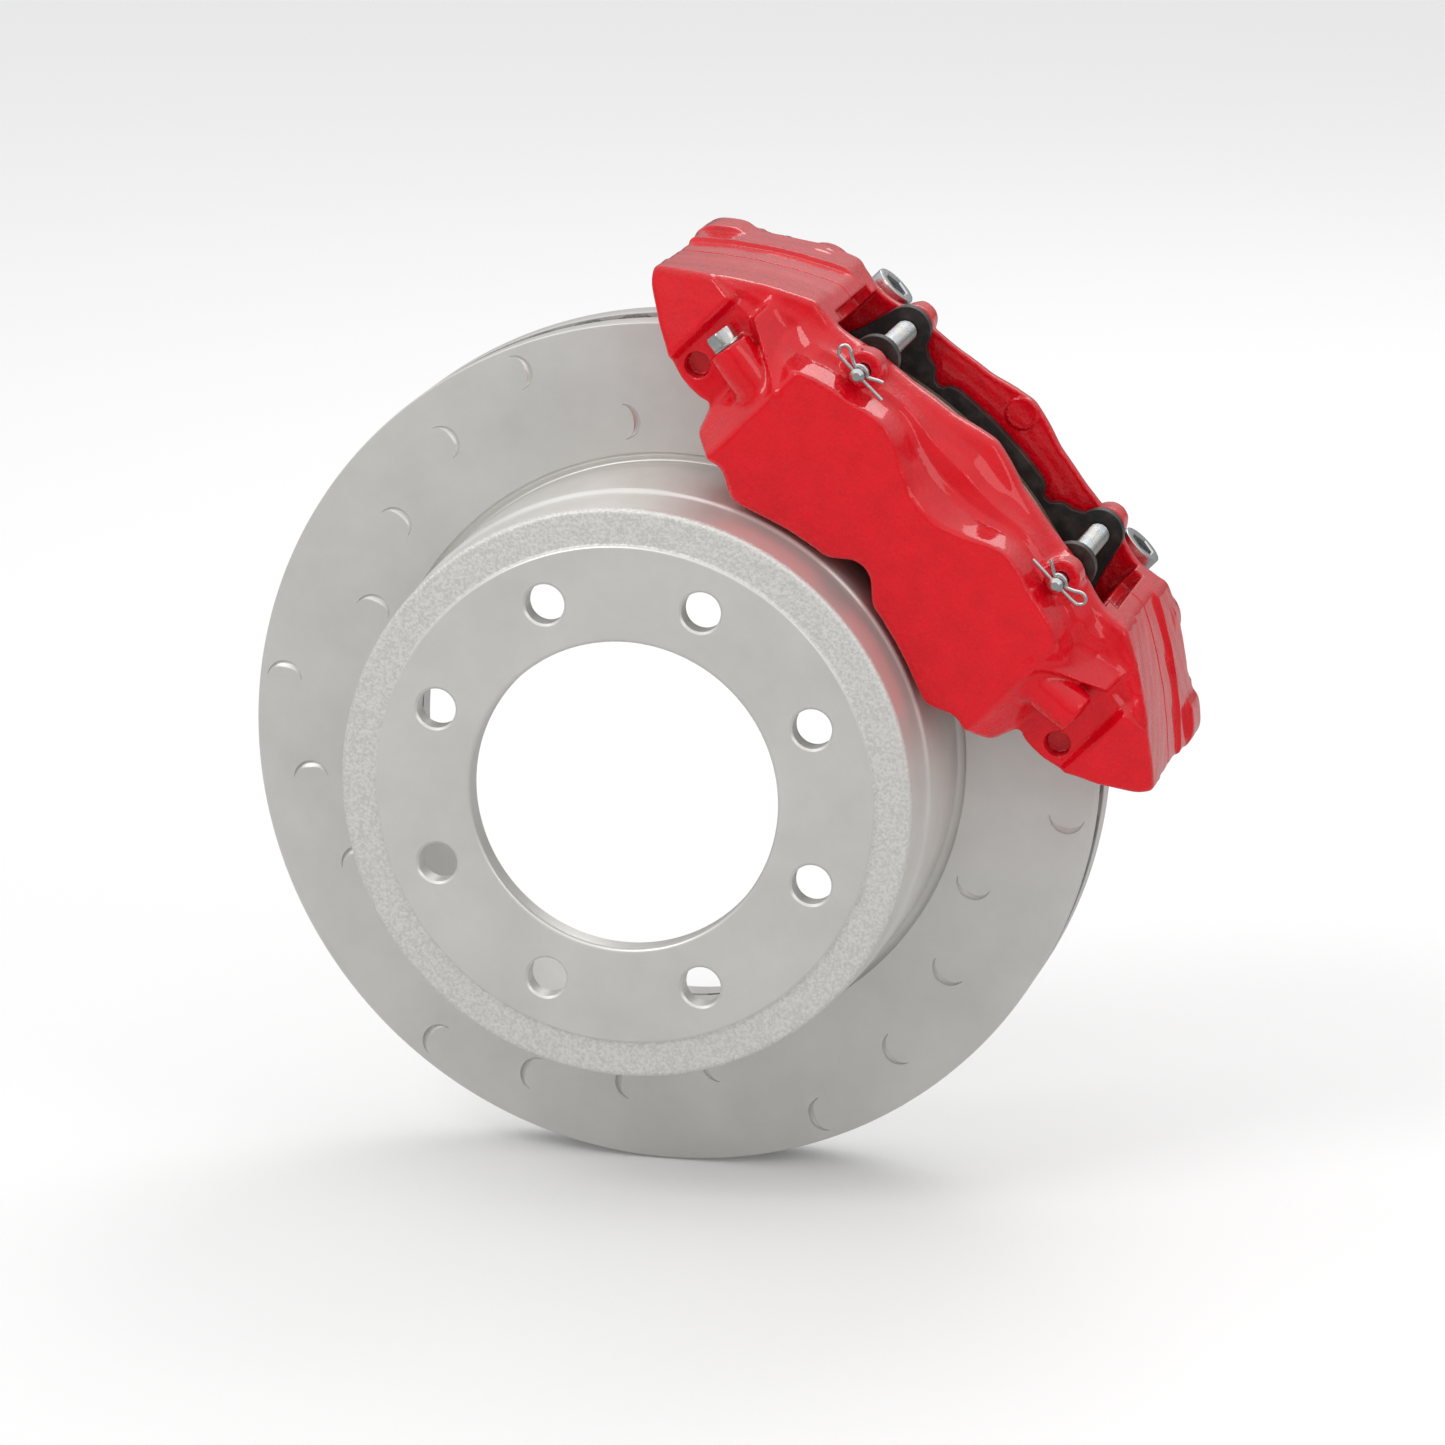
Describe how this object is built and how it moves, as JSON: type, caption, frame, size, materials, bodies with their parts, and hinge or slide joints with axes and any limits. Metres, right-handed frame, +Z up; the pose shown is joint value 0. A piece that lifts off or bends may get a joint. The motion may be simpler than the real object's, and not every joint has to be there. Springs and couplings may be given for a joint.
{
  "type": "brake caliper with disc",
  "caption": "Fixed opposed-piston brake caliper with pads on a vented, grooved disc with a deep hat, carried by a machined axle bracket.",
  "frame": {"origin": "centre of the disc's hub face, on the axis the disc turns on", "axes": "+Y along the disc's axis, from the wheel towards the axle; +Z up; the caliper sits at 45 degrees between +X and +Z"},
  "size_m": [0.3795, 0.1816, 0.3795],
  "materials": {
    "disc_iron": "grey iron with a thin zinc-flake coat, fine turned finish, dull satin",
    "red_paint": "glossy bright red powder coat over cast aluminium",
    "bracket_steel": "milled steel with a bright nickel-like plating",
    "plated_steel": "bright zinc-plated steel",
    "piston_steel": "ground and polished steel",
    "black_steel": "semi-matt black paint on steel",
    "friction": "moulded pad compound, dark grey with fine metal specks",
    "rubber": "matt black rubber"
  },
  "bodies": {
    "caliper_body": {"mounting_bracket": "bracket_steel", "caliper_inboard_half": "red_paint", "passage_plug_inboard": "plated_steel", "piston_seal_inboard_left": "rubber", "dust_boot_inboard_left": "rubber", "piston_seal_inboard_right": "rubber", "dust_boot_inboard_right": "rubber", "caliper_outboard_half": "red_paint", "passage_plug_outboard": "plated_steel", "piston_seal_outboard_left": "rubber", "dust_boot_outboard_left": "rubber", "piston_seal_outboard_right": "rubber", "dust_boot_outboard_right": "rubber", "bridge_bolt_left_inner": "red_paint", "bridge_bolt_left_outer": "red_paint", "mount_bush_left": "plated_steel", "mount_washer_left": "plated_steel", "mount_bolt_left": "plated_steel", "crossover_seal_left": "rubber", "retaining_pin_left": "plated_steel", "pin_spring_left": "plated_steel", "pin_clip_left": "plated_steel", "bridge_bolt_right_inner": "red_paint", "bridge_bolt_right_outer": "red_paint", "mount_bush_right": "plated_steel", "mount_washer_right": "plated_steel", "mount_bolt_right": "plated_steel", "crossover_seal_right": "rubber", "retaining_pin_right": "plated_steel", "pin_spring_right": "plated_steel", "pin_clip_right": "plated_steel"},
    "disc": {"brake_disc": "disc_iron"},
    "inboard_pad": {"backing_plate_inboard": "black_steel", "friction_pad_inboard": "friction", "pad_shim_inboard": "plated_steel"},
    "piston_inboard_left": {"piston_inboard_left": "piston_steel"},
    "piston_inboard_right": {"piston_inboard_right": "piston_steel"},
    "outboard_pad": {"backing_plate_outboard": "black_steel", "friction_pad_outboard": "friction", "pad_shim_outboard": "plated_steel"},
    "piston_outboard_left": {"piston_outboard_left": "piston_steel"},
    "piston_outboard_right": {"piston_outboard_right": "piston_steel"},
    "bleed_screw_left": {"bleed_screw_left": "plated_steel"},
    "bleed_cap_left": {"bleed_cap_left": "rubber"},
    "bleed_screw_right": {"bleed_screw_right": "plated_steel"},
    "bleed_cap_right": {"bleed_cap_right": "rubber"}
  },
  "joints": [
    {"name": "disc_spin", "type": "hinge", "parent": "caliper_body", "child": "disc", "pos_m": [0, 0, 0], "axis": [0, 1, 0], "continuous": true},
    {"name": "inboard_pad_slide", "type": "slide", "parent": "caliper_body", "child": "inboard_pad", "axis": [0, -1, 0], "range_m": [-0.0012, 0.00045]},
    {"name": "outboard_pad_slide", "type": "slide", "parent": "caliper_body", "child": "outboard_pad", "axis": [0, 1, 0], "range_m": [-0.0012, 0.00045]},
    {"name": "piston_inboard_left_slide", "type": "slide", "parent": "caliper_body", "child": "piston_inboard_left", "axis": [0, -1, 0], "range_m": [-0.0012, 0.00045]},
    {"name": "piston_inboard_right_slide", "type": "slide", "parent": "caliper_body", "child": "piston_inboard_right", "axis": [0, -1, 0], "range_m": [-0.0012, 0.00045]},
    {"name": "piston_outboard_left_slide", "type": "slide", "parent": "caliper_body", "child": "piston_outboard_left", "axis": [0, 1, 0], "range_m": [-0.0012, 0.00045]},
    {"name": "piston_outboard_right_slide", "type": "slide", "parent": "caliper_body", "child": "piston_outboard_right", "axis": [0, 1, 0], "range_m": [-0.0012, 0.00045]},
    {"name": "bleed_screw_left_turn", "type": "hinge", "parent": "caliper_body", "child": "bleed_screw_left", "pos_m": [0.02793, 0.147, 0.19057], "axis": [0, 1, 0], "range_deg": [0, 180]},
    {"name": "bleed_cap_left_pull", "type": "slide", "parent": "bleed_screw_left", "child": "bleed_cap_left", "axis": [0, 1, 0], "range_m": [0, 0.012]},
    {"name": "bleed_screw_right_turn", "type": "hinge", "parent": "caliper_body", "child": "bleed_screw_right", "pos_m": [0.19057, 0.147, 0.02793], "axis": [0, 1, 0], "range_deg": [0, 180]},
    {"name": "bleed_cap_right_pull", "type": "slide", "parent": "bleed_screw_right", "child": "bleed_cap_right", "axis": [0, 1, 0], "range_m": [0, 0.012]}
  ],
  "couplings": [
    {"joint": "outboard_pad_slide", "follows": "inboard_pad_slide", "ratio": 1},
    {"joint": "piston_inboard_left_slide", "follows": "inboard_pad_slide", "ratio": 1},
    {"joint": "piston_inboard_right_slide", "follows": "inboard_pad_slide", "ratio": 1},
    {"joint": "piston_outboard_left_slide", "follows": "inboard_pad_slide", "ratio": 1},
    {"joint": "piston_outboard_right_slide", "follows": "inboard_pad_slide", "ratio": 1}
  ]
}
